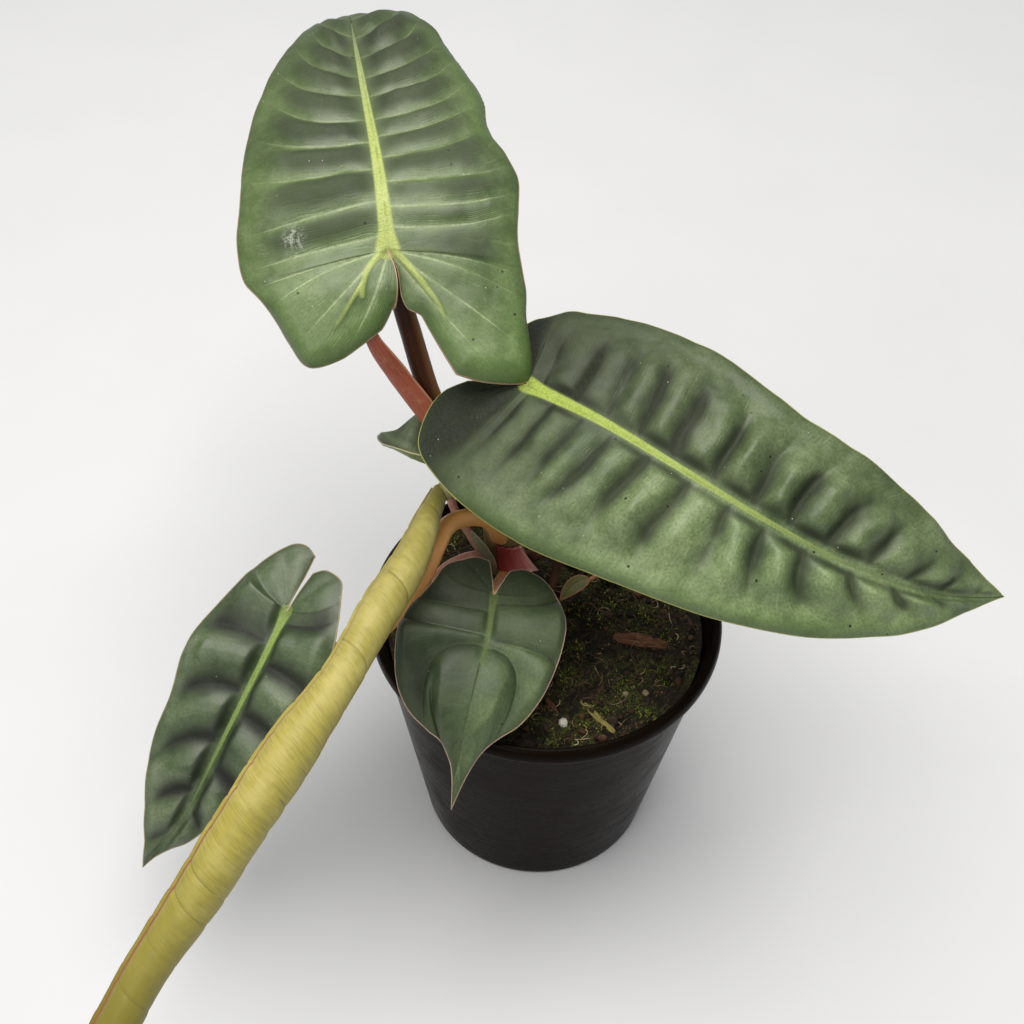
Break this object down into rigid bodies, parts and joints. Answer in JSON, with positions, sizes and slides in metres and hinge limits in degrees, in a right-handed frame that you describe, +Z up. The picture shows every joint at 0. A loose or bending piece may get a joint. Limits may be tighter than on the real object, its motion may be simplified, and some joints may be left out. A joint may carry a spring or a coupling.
{
  "type": "potted foliage plant",
  "caption": "Young heart-leaved philodendron in a round black nursery pot, with broad arrow-shaped leaves on slender stalks and one long rolled new leaf.",
  "frame": {"origin": "middle of the pot's flat underside", "axes": "+Z up along the pot's axis, -Y towards the viewer of the picture, +X towards the viewer's right"},
  "size_m": [0.2095, 0.2678, 0.18],
  "materials": {
    "pot_plastic": "moulded black, lightly scuffed",
    "peat": "damp peat with moss and fibres",
    "leaf": "grey-green leathery leaf with pale veins",
    "leaf_dark": "dark green quilted leaf",
    "leaf_new": "yellow-green rolled leaf",
    "stalk_green": "olive green stem",
    "stalk_maroon": "dark maroon stalk",
    "stalk_pink": "brownish pink stalk",
    "stalk_orange": "orange ochre stalk",
    "sheath_red": "pink-red sheath",
    "sheath_green": "grey-green sheath with a pale edge",
    "bark": "raw bark chip",
    "straw": "dead yellow-green twig",
    "perlite": "white expanded grain"
  },
  "bodies": {
    "root": {"pot": "pot_plastic", "soil": "peat", "stem": "stalk_green", "blade_top": "leaf", "blade_right": "leaf", "blade_left": "leaf_dark", "blade_heart": "leaf", "blade_back": "leaf", "blade_tiny": "leaf", "petiole_top": "stalk_maroon", "petiole_right": "stalk_pink", "petiole_left": "stalk_orange", "petiole_heart": "stalk_orange", "petiole_back": "stalk_pink", "petiole_tiny": "stalk_orange", "petiole_new": "stalk_green", "rolled_leaf": "leaf_new", "cataphyll_red": "sheath_red", "cataphyll_green": "sheath_green", "sheath_fallen": "stalk_pink", "sheath_red": "sheath_red", "root_brown": "stalk_maroon", "bark_long": "bark", "bark_short": "bark", "twig_dead": "straw", "stalk_dead": "bark", "perlite_a": "perlite", "perlite_b": "perlite", "perlite_c": "perlite"}
  },
  "joints": []
}
